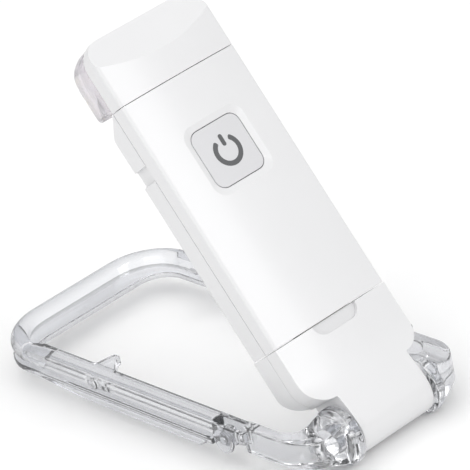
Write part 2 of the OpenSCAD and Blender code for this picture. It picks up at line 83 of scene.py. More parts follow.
# Sizes that several pieces share, in millimetres.
PIN_BORE = 1.3      # radius of the hinge pins' holes
JAW_BORE = 0.86     # radius of the jaw pins' holes
BARREL = 5.3        # radius of the base's hinge barrel
TONGUE = 9.5        # half width of the tongue that ends in the barrel
SHOULDER_Z = 7.0    # where the base's shoulders start above the hinge
BASE_FRONT = -4.2   # the base's front face at its middle
WEB_BACK = 4.7      # back of the web between the barrel and the shoulders
GAP = 0.1           # left between pieces that meet
SLIP = 0.05         # left round a part that slides
TOUCH = 0.02        # left round a part that is held
LINER_WALL = 1.2    # wall round the plug's hollow in the base
LIP = 1.4           # depth of the lip that holds the liner


def drawn_box(node, place):
    """Lowest and highest corner of a CAD node in the drawing's millimetres."""
    back = place.inverted()
    corners = [back @ vertex.co for vertex in frame["nodes"][node].data.vertices]
    low = Vector(min(c[i] for c in corners) for i in range(3))
    high = Vector(max(c[i] for c in corners) for i in range(3))
    return low, high


def linear(code, alpha=1.0):
    """Linear colour from an sRGB hex value."""
    parts = [int(code[i:i + 2], 16) / 255 for i in (1, 3, 5)]
    curve = [p / 12.92 if p <= 0.04045 else ((p + 0.055) / 1.055) ** 2.4 for p in parts]
    return (*curve, alpha)


# ---- What a user would change ----


class LightSizes(bpy.types.PropertyGroup):
    """Radii, gaps and wall sizes of the visible pieces."""

    edge_round: FloatProperty(
        name="Edge round", description="Radius of the shells' long front edges",
        default=0.0007, unit="LENGTH")
    seam_round: FloatProperty(
        name="Seam round", description="Radius of the edges that meet at a seam",
        default=0.00012, unit="LENGTH")
    back_round: FloatProperty(
        name="Back round", description="Radius of the shells' back edges",
        default=0.0014, unit="LENGTH")
    crown: FloatProperty(
        name="Crown", description="Drop of the domed front from its middle to its sides",
        default=0.0016, unit="LENGTH")
    wall: FloatProperty(
        name="Wall", description="Thickness of the shells",
        default=0.0012, unit="LENGTH")
    window_wall: FloatProperty(
        name="Window wall", description="Thickness of the clear window",
        default=0.001, unit="LENGTH")
    head_corner: FloatProperty(
        name="Head corner", description="Radius of the head's two top corners",
        default=0.005, unit="LENGTH")
    shoulder: FloatProperty(
        name="Shoulder", description="Radius of the base's shoulders",
        default=0.0052, unit="LENGTH")
    button_rim: FloatProperty(
        name="Button rim", description="Width of the sloping rim round the button",
        default=0.0013, unit="LENGTH")
    button_sink: FloatProperty(
        name="Button sink", description="Depth of the button below the shell's front",
        default=0.00055, unit="LENGTH")
    button_side: FloatProperty(
        name="Button side", description="Side of the square button",
        default=0.0125, unit="LENGTH")
    button_gap: FloatProperty(
        name="Button gap", description="Gap round the button",
        default=0.00014, unit="LENGTH")
    bar: FloatProperty(
        name="Bar", description="Radius of the clip's round front bar",
        default=0.0021, unit="LENGTH")
    loop_corner: FloatProperty(
        name="Loop corner", description="Bend radius of the clip's front corners",
        default=0.011, unit="LENGTH")
    wire: FloatProperty(
        name="Spring wire", description="Diameter of the jaw springs' wire",
        default=0.0004, unit="LENGTH")
    fine: FloatProperty(
        name="Fine step", description="Mesh step of the clear moulded pieces",
        default=0.00026, unit="LENGTH")


class LightColours(bpy.types.PropertyGroup):
    """Colours of the finishes, and the painted shade of clear plastic at its edges."""

    shell: FloatVectorProperty(
        name="Shell", description="White plastic of the lamp and base",
        default=linear("#E2E2E3"), size=4, subtype="COLOR", min=0, max=1)
    button: FloatVectorProperty(
        name="Button", description="Matt white plastic of the button",
        default=linear("#D5D5D7"), size=4, subtype="COLOR", min=0, max=1)
    symbol: FloatVectorProperty(
        name="Symbol", description="Smoked grey of the power symbol",
        default=linear("#58595B"), size=4, subtype="COLOR", min=0, max=1)
    clear: FloatVectorProperty(
        name="Clear plastic", description="Clear plastic seen straight through",
        default=linear("#FAFBFD"), size=4, subtype="COLOR", min=0, max=1)
    # Painted shade: the grey that clear plastic is given where it is seen along its surface,
    # standing in for the dark lines that bent light gives its edges.
    painted_edge_shade: FloatVectorProperty(
        name="Clear edge", description="Clear plastic seen along its surface",
        default=linear("#B6B7C0"), size=4, subtype="COLOR", min=0, max=1)
    floor: FloatVectorProperty(
        name="Floor", description="Pale floor under the light",
        default=linear("#FBFBFB"), size=4, subtype="COLOR", min=0, max=1)


def sizes():
    return bpy.context.scene.reading_light_sizes


def colours():
    return bpy.context.scene.reading_light_colours


# ---- Drawing tools, in millimetres ----


def block(bm, low, high):
    """A box from two corners."""
    low, high = Vector(low), Vector(high)
    made = bmesh.ops.create_cube(bm, size=1.0)["verts"]
    bmesh.ops.scale(bm, vec=high - low, verts=made)
    bmesh.ops.translate(bm, vec=(low + high) / 2, verts=made)
    return made


def rod(bm, radius, start, end, segments=48):
    """A round rod between two points."""
    start, end = Vector(start), Vector(end)
    turn = Vector((0, 0, 1)).rotation_difference(end - start).to_matrix().to_4x4()
    place = Matrix.Translation((start + end) / 2) @ turn
    return bmesh.ops.create_cone(
        bm, cap_ends=True, segments=segments, radius1=radius, radius2=radius,
        depth=(end - start).length, matrix=place)["verts"]


def plate(bm, outline, axis, start, end, corners=None, segments=8):
    """An outline drawn across an axis, its corners rounded, thickened along that axis.

    Corners maps a corner's place in the outline to its radius.
    """
    others = [i for i in range(3) if i != axis]
    sheet = bmesh.new()
    first = []
    for pair in outline:
        spot = Vector((0, 0, 0))
        spot[others[0]], spot[others[1]], spot[axis] = pair[0], pair[1], start
        first.append(sheet.verts.new(spot))
    sheet.faces.new(first)
    for place, radius in (corners or {}).items():
        bmesh.ops.bevel(
            sheet, geom=[first[place]], offset=radius, offset_type="OFFSET",
            segments=segments, profile=0.5, affect="VERTICES", material=-1)
    made = bmesh.ops.extrude_face_region(sheet, geom=sheet.faces[:])["geom"]
    move = Vector((0, 0, 0))
    move[axis] = end - start
    moved = [g for g in made if isinstance(g, bmesh.types.BMVert)]
    bmesh.ops.translate(sheet, vec=move, verts=moved)
    bmesh.ops.recalc_face_normals(sheet, faces=sheet.faces)
    join(bm, sheet)


def join(bm, other):
    """Adds another drawing, which is used up."""
    mesh = bpy.data.meshes.new("scratch")
    other.to_mesh(mesh)
    other.free()
    bm.from_mesh(mesh)
    bpy.data.meshes.remove(mesh)


def about(centre, angle, axis, drift=(0, 0, 0)):
    """A turn about a line through a point, with a drift along it."""
    return (Matrix.Translation(Vector(centre) + Vector(drift))
            @ Matrix.Rotation(angle, 4, axis) @ Matrix.Translation(-Vector(centre)))


def draw_on(bm, end, change, count=1):
    """Draws an end face on by a move or turn, repeated, and returns the new end."""
    for _ in range(count):
        made = bmesh.ops.extrude_face_region(bm, geom=end)["geom"]
        bmesh.ops.transform(
            bm, matrix=change, verts=[g for g in made if isinstance(g, bmesh.types.BMVert)])
        hidden = [f for f in end if all(len(e.link_faces) > 2 for e in f.edges)]
        bmesh.ops.delete(bm, geom=hidden, context="FACES_ONLY")
        end = [g for g in made if isinstance(g, bmesh.types.BMFace)]
    return end


def disc(bm, radius, place, axis, segments):
    """A round face to draw on from, turned from Z about an axis."""
    made = bmesh.ops.create_circle(
        bm, cap_ends=True, radius=radius, segments=segments,
        matrix=Matrix.Translation(place) @ Matrix.Rotation(math.pi / 2, 4, axis))
    return list({f for v in made["verts"] for f in v.link_faces})


def slices(bm, axis, places):
    """Cuts the mesh's faces along planes across an axis, and keeps both sides."""
    normal = Vector((0, 0, 0))
    normal[axis] = 1
    for place in places:
        bmesh.ops.bisect_plane(
            bm, geom=bm.verts[:] + bm.edges[:] + bm.faces[:], dist=1e-4,
            plane_co=normal * place, plane_no=normal)


def steps(low, high, count):
    return [low + (high - low) * i / count for i in range(1, count)]


def mirrored(bm):
    """Adds the other side across the middle plane."""
    geom = bm.verts[:] + bm.edges[:] + bm.faces[:]
    bmesh.ops.mirror(bm, geom=geom, axis="X", merge_dist=-1)
    bmesh.ops.recalc_face_normals(bm, faces=bm.faces)


def scratch(bm):
    mesh = bpy.data.meshes.new("scratch")
    bm.to_mesh(mesh)
    bm.free()
    piece = bpy.data.objects.new("scratch", mesh)
    bpy.context.scene.collection.objects.link(piece)
    return piece


def worked(holder, *others):
    """The mesh of a scratch object with its modifiers, and the scratch objects removed."""
    bpy.context.view_layer.update()
    result = bmesh.new()
    result.from_object(holder, bpy.context.evaluated_depsgraph_get())
    for piece in (holder, *others):
        mesh = piece.data
        bpy.data.objects.remove(piece)
        bpy.data.meshes.remove(mesh)
    return result


def carve(solid, tool, operation="DIFFERENCE"):
    """The solid after a cut, join or overlap with another. Both are used up."""
    holder, cutter = scratch(solid), scratch(tool)
    change = holder.modifiers.new("carve", "BOOLEAN")
    change.object = cutter
    change.operation = operation
    change.solver = "EXACT"
    result = worked(holder, cutter)
    bmesh.ops.remove_doubles(result, verts=result.verts, dist=1e-3)
    bmesh.ops.dissolve_degenerate(result, edges=result.edges, dist=1e-3)
    if not result.faces:
        raise RuntimeError("a cut left nothing")
    return result


def melted(solid, step, rounds):
    """Overlapping solids fused into one skin, with soft moulded edges."""
    holder = scratch(solid)
    fuse = holder.modifiers.new("fuse", "REMESH")
    fuse.mode = "VOXEL"
    fuse.voxel_size = step
    result = worked(holder)
    for _ in range(rounds):
        bmesh.ops.smooth_vert(
            result, verts=result.verts, factor=0.5,
            use_axis_x=True, use_axis_y=True, use_axis_z=True)
    return result


def soften(bm, width, pick=None, turn=30, segments=3):
    """Rounds the sharp edges, or those of them that pick accepts."""
    sharp = math.radians(turn)
    edges = [
        e for e in bm.edges
        if len(e.link_faces) == 2 and e.calc_face_angle(0) > sharp
        and (pick is None or pick(e))
    ]
    bmesh.ops.bevel(
        bm, geom=edges, offset=width, offset_type="OFFSET", segments=segments,
        profile=0.5, affect="EDGES", clamp_overlap=True, material=-1, loop_slide=True)


def crown(bm, front, parting, half, weight=None):
    """Bows the front face: its sides drop towards the parting plane."""
    drop = sizes().crown * MM
    for vert in bm.verts:
        share = min(max((parting - vert.co.y) / (parting - front), 0), 1)
        if weight:
            share *= weight(vert.co.z)
        vert.co.y += drop * (vert.co.x / half) ** 2 * share


def ease(low, high, value):
    """From 0 at low to 1 at high, with soft ends."""
    t = min(max((value - low) / (high - low), 0), 1)
    return t * t * (3 - 2 * t)


def settle(name, bm, place, body, material, nodes=(), turn=32):
    """Puts a drawn mesh in the frame as a finished piece."""
    bm.transform(place)
    for face in bm.faces:
        face.smooth = True
    mesh = bpy.data.meshes.new(name)
    bm.to_mesh(mesh)
    bm.free()
    mesh.set_sharp_from_angle(angle=math.radians(turn))
    mesh.materials.append(material)
    piece = bpy.data.objects.new(name, mesh)
    bpy.context.scene.collection.objects.link(piece)
    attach(piece, body)
    if nodes:
        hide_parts(*nodes)
    even = piece.modifiers.new("even", "WEIGHTED_NORMAL")
    even.keep_sharp = True
    return piece


# ---- Finishes ----


def add(tree, kind, values=None, links=None, **settings):
    """Adds a node with its settings, values and links."""
    node = tree.nodes.new(kind)
    for key, value in settings.items():
        setattr(node, key, value)
    for key, value in (values or {}).items():
        node.inputs[key].default_value = value
    for key, output in (links or {}).items():
        tree.links.new(output, node.inputs[key])
    return node


def blank(name):
    """A material with only an output and millimetre coordinates."""
    material = bpy.data.materials.new(name)
    material.use_nodes = True
    tree = material.node_tree
    tree.nodes.clear()
    where = add(tree, "ShaderNodeTexCoord")
    scaled = add(
        tree, "ShaderNodeMapping", {"Scale": (MM, MM, MM)},
        {"Vector": where.outputs["Object"]})
    return material, tree, scaled.outputs["Vector"]


def surface(tree, shader):
    add(tree, "ShaderNodeOutputMaterial", links={"Surface": shader.outputs[0]})


def moulded(name, colour, rough, grain, depth, coat=0.0):
    """Opaque injection-moulded plastic: an even colour with a fine spark-eroded grain.

    Grain and depth are in millimetres. A real sparked grain is about 0.05 mm across, and
    it is drawn coarser so that it shows.
    """
    material, tree, place = blank(name)
    cloud = add(
        tree, "ShaderNodeTexNoise", {"Scale": 0.08, "Detail": 3.0}, {"Vector": place})
    tint = add(
        tree, "ShaderNodeMix", {"A": colour, "B": [c * 0.965 for c in colour[:3]] + [1]},
        {"Factor": cloud.outputs["Fac"]}, data_type="RGBA")
    speck = add(
        tree, "ShaderNodeTexNoise", {"Scale": 1 / grain, "Detail": 4.0, "Roughness": 0.6},
        {"Vector": place})
    sheen = add(
        tree, "ShaderNodeMapRange", {"To Min": rough - 0.05, "To Max": rough + 0.05},
        {"Value": speck.outputs["Fac"]})
    bump = add(
        tree, "ShaderNodeBump", {"Strength": 0.25, "Distance": depth / MM},
        {"Height": speck.outputs["Fac"]})
    shader = add(
        tree, "ShaderNodeBsdfPrincipled", {"IOR": 1.49, "Coat Weight": coat,
                                           "Coat Roughness": 0.12},
        {"Base Color": tint.outputs["Result"], "Roughness": sheen.outputs["Result"],
         "Normal": bump.outputs["Normal"]})
    surface(tree, shader)
    return material


def clear(name, face, edge, rough, through, cover=1.0):
    """Clear polycarbonate: polished and bends light strongly; seen at a grazing angle its colour
    turns to the edge colour, a painted shade for the dark lines bent light gives its edges.

    Its usual IOR of 1.585 is a little lower here, so that thin edges stay light. Flow
    marks are about 5 mm long. Less cover lets some light straight through a thin wall.
    """
    material, tree, place = blank(name)
    # Painted shade: the colour turns to the edge colour where the surface is seen at a grazing
    # angle.
    grazing_shade = add(tree, "ShaderNodeLayerWeight", {"Blend": 0.35})
    tint = add(
        tree, "ShaderNodeMix", {"A": face, "B": edge},
        {"Factor": grazing_shade.outputs["Facing"]}, data_type="RGBA")
    flow = add(
        tree, "ShaderNodeTexNoise", {"Scale": 0.22, "Detail": 2.0}, {"Vector": place})
    bump = add(
        tree, "ShaderNodeBump", {"Strength": 0.3, "Distance": 0.06 / MM},
        {"Height": flow.outputs["Fac"]})
    shader = add(
        tree, "ShaderNodeBsdfPrincipled",
        {"IOR": 1.55, "Transmission Weight": through, "Roughness": rough,
         "Alpha": cover},
        {"Base Color": tint.outputs["Result"], "Normal": bump.outputs["Normal"]})
    surface(tree, shader)
    return material


def metal(name, colour, rough, spacing):
    """Plated or drawn metal: bright, with fine lines left by drawing or tumbling.

    Spacing is in millimetres. The real lines are some 0.02 mm apart, and they are drawn
    coarser so that they show.
    """
    material, tree, place = blank(name)
    lines = add(
        tree, "ShaderNodeTexNoise", {"Scale": 1 / spacing, "Detail": 5.0, "Distortion": 0.4},
        {"Vector": place})
    sheen = add(
        tree, "ShaderNodeMapRange", {"To Min": rough * 0.7, "To Max": rough * 1.4},
        {"Value": lines.outputs["Fac"]})
    bump = add(
        tree, "ShaderNodeBump", {"Strength": 0.2, "Distance": 0.01 / MM},
        {"Height": lines.outputs["Fac"]})
    tint = add(
        tree, "ShaderNodeMix", {"A": colour, "B": [c * 0.86 for c in colour[:3]] + [1]},
        {"Factor": lines.outputs["Fac"]}, data_type="RGBA")
    shader = add(
        tree, "ShaderNodeBsdfPrincipled", {"Metallic": 1.0},
        {"Base Color": tint.outputs["Result"], "Roughness": sheen.outputs["Result"],
         "Normal": bump.outputs["Normal"]})
    surface(tree, shader)
    return material


def laminate(name, colour, track):
    """Printed board: solder resist with the faint raised lines of copper tracks.

    The tracks are 0.6 to 1.3 mm apart and 0.03 mm high.
    """
    material, tree, place = blank(name)
    grid = add(
        tree, "ShaderNodeTexBrick",
        {"Scale": 0.4, "Mortar Size": 0.06, "Color1": colour, "Color2": colour,
         "Mortar": track}, {"Vector": place}, offset=0.37)
    bump = add(
        tree, "ShaderNodeBump", {"Strength": 0.3, "Distance": 0.03 / MM},
        {"Height": grid.outputs["Fac"]})
    shader = add(
        tree, "ShaderNodeBsdfPrincipled", {"IOR": 1.5, "Roughness": 0.32},
        {"Base Color": grid.outputs["Color"], "Normal": bump.outputs["Normal"]})
    surface(tree, shader)
    return material


FINISHES = {}


def finish(name):
    """The finish of that name, made the first time it is asked for."""
    if name not in FINISHES:
        c = colours()
        makers = {
            # An even white with a soft highlight that fades slowly.
            "white ABS, moulded satin": (moulded, c.shell, 0.3, 0.35, 0.008, 0.15),
            # A shade greyer than the shells and flatter, with no clear highlight.
            "white ABS, fine matt": (moulded, c.button, 0.55, 0.3, 0.012),
            # Slightly creamy and waxy, with a broad dull highlight.
            "white POM, moulded": (moulded, linear("#E9E9E6"), 0.4, 0.5, 0.01),
            # Dark grey and glossy, with a crisp reflection on top.
            "smoked polycarbonate inlay": (moulded, c.symbol, 0.2, 0.6, 0.004, 0.5),
            # Almost colourless, with bright and dark lines where its edges bend the light, and a
            # painted grey shade where it is seen edge on.
            "clear polycarbonate, polished": (clear, c.clear, c.painted_edge_shade, 0.02, 0.96),
            # A thin clear wall, seen through at its middle, with a violet-grey painted shade at
            # its edges.
            "clear polycarbonate lens": (
                clear, linear("#FDFAFE"), linear("#A59CAB"), 0.04, 0.85, 0.68),
            # Bright grey, with narrow streaks left by the die.
            "spring steel wire": (metal, linear("#B9BABD"), 0.22, 0.3),
            # A cool grey shine, faintly mottled by tumbling.
            "zinc-plated steel": (metal, linear("#C5C7CB"), 0.25, 0.5),
            # Warmer than zinc and nearer to a mirror.
            "nickel-plated steel": (metal, linear("#D0CFCB"), 0.2, 0.8),
            # The soft yellow shine of a thin plating.
            "gold-plated contact": (metal, linear("#E8BE62"), 0.22, 0.4),
            # Milky, with a dull highlight.
            "white nylon": (moulded, linear("#DEDDD8"), 0.5, 0.4, 0.01),
            # Nearly black, and grainy where glass fibres reach the skin.
            "black glass-filled nylon": (moulded, linear("#1D1E20"), 0.45, 0.3, 0.02),
            # Green resist, lighter where copper runs under it.
            "green glass-epoxy board": (laminate, linear("#14532E"), linear("#2C7A46")),
            # White resist that throws light back, nearly plain.
            "white aluminium-core board": (
                laminate, linear("#EFE9E6"), linear("#E2D8D2")),
            # Dark grey and sandy.
            "epoxy chip body": (moulded, linear("#242426"), 0.6, 0.2, 0.02),
            # Fired tan, half glossy.
            "ceramic and tin parts": (moulded, linear("#B79D78"), 0.4, 0.4, 0.01),
            # A deep yellow gel over each diode, softly glossy.
            "yellow phosphor resin": (moulded, linear("#E9D06A"), 0.35, 0.3, 0.02),
            # Silver foil with soft creases 2 mm apart.
            "aluminium pouch foil": (metal, linear("#AEB6C2"), 0.35, 2.0),
            # Dead matt, with open cells 0.5 mm across.
            "grey foam": (moulded, linear("#6E7278"), 0.9, 0.5, 0.15),
            # Extruded smooth, half glossy.
            "red PVC": (moulded, linear("#B3201E"), 0.4, 0.5, 0.01),
            # Very light and glossy, to throw light forward.
            "white reflector plastic": (moulded, linear("#F4F4F2"), 0.25, 0.6, 0.004),
        }
        make, *values = makers[name]
        FINISHES[name] = make(name, *values)
    return FINISHES[name]


# ---- The lamp ----


def rounded_square(bm, side, radius, middle, start, end):
    """A square with round corners, thickened along Y."""
    h = side / 2
    outline = [(-h, middle - h), (h, middle - h), (h, middle + h), (-h, middle + h)]
    plate(bm, outline, 1, start, end, {i: radius for i in range(4)})


def button_middle():
    low, high = drawn_box("button_cap", LAMP_PLACE)
    return (low.z + high.z) / 2


class READING_OT_front_shell(bpy.types.Operator):
    """Builds the lamp's domed front shell with the button's opening"""

    bl_idname = "reading_light.front_shell"
    bl_label = "Front Shell"

    def execute(self, context):
        s = sizes()
        low, high = drawn_box("front_shell", LAMP_PLACE)
        half, wall = high.x, s.wall * MM
        shell = bmesh.new()
        block(shell, low, high)
        soften(shell, s.edge_round * MM, lambda e: all(
            v.co.y < low.y + 0.01 for v in e.verts)
            and abs(e.verts[0].co.z - e.verts[1].co.z) > 1, segments=5)
        soften(shell, s.seam_round * MM, turn=60, segments=2)
        slices(shell, 0, steps(-half, half, 30))
        crown(shell, low.y, high.y, half)
        room = bmesh.new()
        block(room, (low.x + wall, low.y + wall, low.z + wall),
              (high.x - wall, high.y + 1, high.z - wall))
        slices(room, 0, steps(-half, half, 10))
        crown(room, low.y, high.y, half)
        shell = carve(shell, room)
        shell = self.button_opening(shell, low, high, s)
        plug = drawn_box("plug_shell", LAMP_PLACE)
        slot = bmesh.new()
        block(slot, (plug[0].x - SLIP, plug[0].y - SLIP, low.z - 1),
              (plug[1].x + SLIP, high.y + 1, low.z + wall + 1))
        shell = carve(shell, slot)
        settle("lamp_front_shell", shell, LAMP_PLACE, "light",
               finish("white ABS, moulded satin"), ["front_shell"])
        return {"FINISHED"}

    def button_opening(self, shell, low, high, s):
        """Cuts the hole for the button and the rim that slopes down to it."""
        middle, rim, sink = button_middle(), s.button_rim * MM, s.button_sink * MM
        opening, corner = (s.button_side + 2 * s.button_gap) * MM, 2.3
        hole = bmesh.new()
        rounded_square(hole, opening, corner, middle, low.y - 1, low.y + s.wall * MM + 1)
        shell = carve(shell, hole)
        # The dish ends just inside the hole, so that their sides never coincide.
        dish = bmesh.new()
        rounded_square(
            dish, opening - 0.1, corner, middle, low.y - sink, low.y + sink + 0.1)
        wide = 1 + 4 * rim / opening
        bmesh.ops.scale(
            dish, vec=(wide, 1, wide), space=Matrix.Translation((0, 0, -middle)),
            verts=[v for v in dish.verts if v.co.y < low.y])
        slices(dish, 0, steps(-opening, opening, 40))
        crown(dish, low.y, high.y, high.x)
        shell = carve(shell, dish)
        inner, outer = opening / 2 + 0.3, opening / 2 + rim + 0.5
        soften(shell, 0.3, lambda e: all(
            inner < max(abs(v.co.x), abs(v.co.z - middle)) < outer
            and v.co.y < low.y + 0.7 for v in e.verts), turn=11, segments=4)
        return shell


class READING_OT_back_shell(bpy.types.Operator):
    """Builds the lamp's back shell with its slope and side notches"""

    bl_idname = "reading_light.back_shell"
    bl_label = "Back Shell"

    def execute(self, context):
        s = sizes()
        low, high = drawn_box("back_shell", LAMP_PLACE)
        wall = s.wall * MM
        slope_long, slope_deep = 4.8, 5.2
        shell = bmesh.new()
        outline = [
            (low.y, low.z), (high.y, low.z), (high.y, high.z - slope_long),
            (high.y - slope_deep, high.z), (low.y, high.z),
        ]
        plate(shell, outline, 0, low.x, high.x)
        soften(shell, s.back_round * MM, lambda e: all(
            v.co.y > high.y - 0.01 and abs(v.co.x) > high.x - 0.01 for v in e.verts),
            segments=6)
        soften(shell, 0.6, lambda e: all(
            v.co.y > low.y + 0.5 and v.co.z < low.z + 0.01 for v in e.verts),
            turn=25, segments=4)
        soften(shell, 0.5, lambda e: all(
            v.co.y > low.y + 0.5 and v.co.z > high.z - slope_long - 1.5 for v in e.verts),
            turn=20, segments=4)
        soften(shell, s.seam_round * MM, lambda e: all(
            v.co.y < low.y + 0.01 for v in e.verts), turn=60, segments=2)
        room = bmesh.new()
        inner = [
            (low.y - 1, low.z + wall), (high.y - wall, low.z + wall),
            (high.y - wall, high.z - slope_long - wall),
            (high.y - slope_deep - wall, high.z - wall), (low.y - 1, high.z - wall),
        ]
        side_wall = 2.4
        plate(room, inner, 0, low.x + side_wall, high.x - side_wall)
        shell = carve(shell, room)
        notch = bmesh.new()
        # The side notch, where the clip's nub snaps in.
        middle, tall, deep = high.z - 13.6, 3.6, 1.2
        block(notch, (high.x - deep, low.y - 1, middle - tall / 2),
              (high.x + 1, high.y + 1, middle + tall / 2))
        soften(notch, 0.5, lambda e: all(v.co.x < high.x for v in e.verts)
               and abs(e.verts[0].co.y - e.verts[1].co.y) > 1, segments=4)
        mirrored(notch)
        shell = carve(shell, notch)
        plug = drawn_box("plug_shell", LAMP_PLACE)
        slot = bmesh.new()
        block(slot, (plug[0].x - SLIP, low.y - 1, low.z - 1),
              (plug[1].x + SLIP, plug[1].y + SLIP, low.z + wall + 1))
        shell = carve(shell, slot)
        settle("lamp_back_shell", shell, LAMP_PLACE, "light",
               finish("white ABS, moulded satin"), ["back_shell"])
        return {"FINISHED"}


def head_outline(low, high):
    """The head seen from the front, as four corners."""
    return [(low.x, low.z), (high.x, low.z), (high.x, high.z), (low.x, high.z)]


class READING_OT_head(bpy.types.Operator):
    """Builds the head's white cover and its clear light window"""

    bl_idname = "reading_light.head"
    bl_label = "Head"

    def execute(self, context):
        s = sizes()
        self.cover(s)
        self.window(s)
        return {"FINISHED"}

    def cover(self, s):
        low, high = drawn_box("head_cover", LAMP_PLACE)
        corner, wall = s.head_corner * MM, s.wall * MM
        front = drawn_box("front_shell", LAMP_PLACE)[0].y
        bevel_long, bevel_deep = 8.0, 4.2
        facet = Vector((0, -bevel_long, bevel_deep)).normalized()
        crest = Vector((0, front, high.z - bevel_long))
        solids = []
        for inset, back in ((0.0, high.y), (wall, high.y + 1)):
            solid = bmesh.new()
            outline = head_outline(
                Vector((low.x + inset, 0, low.z - (1 if inset else 0))),
                Vector((high.x - inset, 0, high.z - inset)))
            plate(solid, outline, 1, front + inset, back,
                  {2: corner - inset, 3: corner - inset}, segments=10)
            if not inset:
                soften(solid, s.edge_round * MM, lambda e: all(
                    v.co.y < front + 0.01 for v in e.verts) and any(
                    v.co.z > low.z + 0.01 for v in e.verts), turn=60, segments=5)
                soften(solid, s.seam_round * MM, lambda e: all(
                    v.co.z < low.z + 0.01 for v in e.verts), turn=60, segments=2)
            slices(solid, 0, steps(-high.x, high.x, 30))
            slices(solid, 1, [front + inset + 1.2, front + inset + 2.6])
            crown(solid, front, high.y, high.x)
            cut = bmesh.ops.bisect_plane(
                solid, geom=solid.verts[:] + solid.edges[:] + solid.faces[:], dist=1e-4,
                plane_co=crest - facet * inset, plane_no=facet, clear_outer=True)
            rim = [g for g in cut["geom_cut"] if isinstance(g, bmesh.types.BMEdge)]
            bmesh.ops.edgeloop_fill(solid, edges=rim)
            bmesh.ops.recalc_face_normals(solid, faces=solid.faces)
            if not inset:
                plane = crest.dot(facet)
                soften(solid, 0.3, lambda e: all(
                    abs(v.co.dot(facet) - plane) < 0.01 for v in e.verts),
                    turn=12, segments=4)
            solids.append(solid)
        settle("head_cover_piece", carve(*solids), LAMP_PLACE, "light",
               finish("white ABS, moulded satin"), ["head_cover"])

    def window(self, s):
        """The clear window: an even wall with a round back, open towards the board."""
        low, high = drawn_box("light_window", LAMP_PLACE)
        solids = []
        for inset in (0.0, s.window_wall * MM):
            solid = bmesh.new()
            front = low.y - (1 if inset else 0)
            side = [(front, low.z + inset), (high.y - inset, low.z + inset),
                    (high.y - inset, high.z - inset), (front, high.z - inset)]
            plate(solid, side, 0, low.x + inset, high.x - inset,
                  {1: 1.4 - inset * 0.6, 2: 6.5 - inset}, segments=14)
            shape = bmesh.new()
            outline = head_outline(low + Vector((inset, 0, inset)),
                                   high - Vector((inset, 0, inset)))
            plate(shape, outline, 1, front - 1, high.y + 1,
                  {2: 4.0 - inset, 3: 4.0 - inset}, segments=10)
            solid = carve(solid, shape, "INTERSECT")
            if not inset:
                soften(solid, 0.8, lambda e: all(
                    v.co.y > low.y + 0.01 for v in e.verts), turn=40, segments=5)
            solids.append(solid)
        settle("light_window_piece", carve(*solids), LAMP_PLACE, "light",
               finish("clear polycarbonate lens"), ["light_window"])


class READING_OT_button(bpy.types.Operator):
    """Builds the square button and the power symbol set into it"""

    bl_idname = "reading_light.button"
    bl_label = "Button"

    def execute(self, context):
        s = sizes()
        low, high = drawn_box("button_cap", LAMP_PLACE)
        middle, side = button_middle(), s.button_side * MM
        shell_low, shell_high = drawn_box("front_shell", LAMP_PLACE)
        half, top = shell_high.x, shell_low.y + s.button_sink * MM
        deep, under = 2.0, 6
        cap = bmesh.new()
        rounded_square(cap, side, 2.2, middle, top, top + deep)
        soften(cap, 0.16, lambda e: all(v.co.y < top + 0.01 for v in e.verts),
               turn=60, segments=4)
        slices(cap, 0, steps(-side / 2, side / 2, 12))
        crown(cap, top, top + under, half)
        flange = bmesh.new()
        rounded_square(
            flange, high.x - low.x, 1.5, middle, top + deep - 0.2, top + deep + 0.6)
        cap = carve(cap, flange, "UNION")
        stem = bmesh.new()
        rod(stem, 1.6, (0, top + deep, middle), (0, high.y, middle))
        cap = carve(cap, stem, "UNION")
        settle("button_cap_piece", cap, LAMP_PLACE, "button",
               finish("white ABS, fine matt"), ["button_cap"])

        # The symbol: a ring open at its top, and an upright bar in the opening.
        mark = bmesh.new()
        ring_out, stroke = drawn_box("power_symbol", LAMP_PLACE)[1].x, 1.05
        ring_mid, half_open = ring_out - stroke / 2, 1.55
        gap = math.asin(half_open / ring_mid)
        start = [mark.verts.new((0, 0, ring_out)), mark.verts.new((0, 0, ring_out - stroke))]
        line = mark.edges.new(start)
        turn = Matrix.Rotation(gap, 3, "Y")
        bmesh.ops.rotate(mark, cent=(0, 0, 0), matrix=turn, verts=start)
        bmesh.ops.spin(mark, geom=start + [line], cent=(0, 0, 0), axis=(0, 1, 0),
                       angle=2 * math.pi - 2 * gap, steps=48, use_merge=False)
        ends = [v for v in mark.verts if len(v.link_edges) == 2]
        bmesh.ops.bevel(mark, geom=ends, offset=stroke * 0.49, offset_type="OFFSET",
                        segments=6, profile=0.5, affect="VERTICES", material=-1)
        bar_half, bar_low, bar_high = 0.47, 1.0, 3.55
        corners = [(-bar_half, bar_low), (bar_half, bar_low),
                   (bar_half, bar_high), (-bar_half, bar_high)]
        first = [mark.verts.new((x, 0, z)) for x, z in corners]
        mark.faces.new(first)
        bmesh.ops.bevel(mark, geom=first, offset=bar_half * 0.97, offset_type="OFFSET",
                        segments=6, profile=0.5, affect="VERTICES", material=-1)
        made = bmesh.ops.extrude_face_region(mark, geom=mark.faces[:])["geom"]
        bmesh.ops.translate(mark, vec=(0, 0.2, 0), verts=[
            g for g in made if isinstance(g, bmesh.types.BMVert)])
        bmesh.ops.recalc_face_normals(mark, faces=mark.faces)
        bmesh.ops.translate(mark, vec=(0, top - 0.03, middle), verts=mark.verts)
        crown(mark, top, top + under, half)
        settle("power_symbol_piece", mark, LAMP_PLACE, "button",
               finish("smoked polycarbonate inlay"), ["power_symbol"])
        return {"FINISHED"}


# ---- The base ----


def flare(z, crest, barrel, top):
    """The base's front line: it swells from the shells' front to the hinge barrel."""
    return crest - (barrel + crest) * (1 - ease(0, top, z))


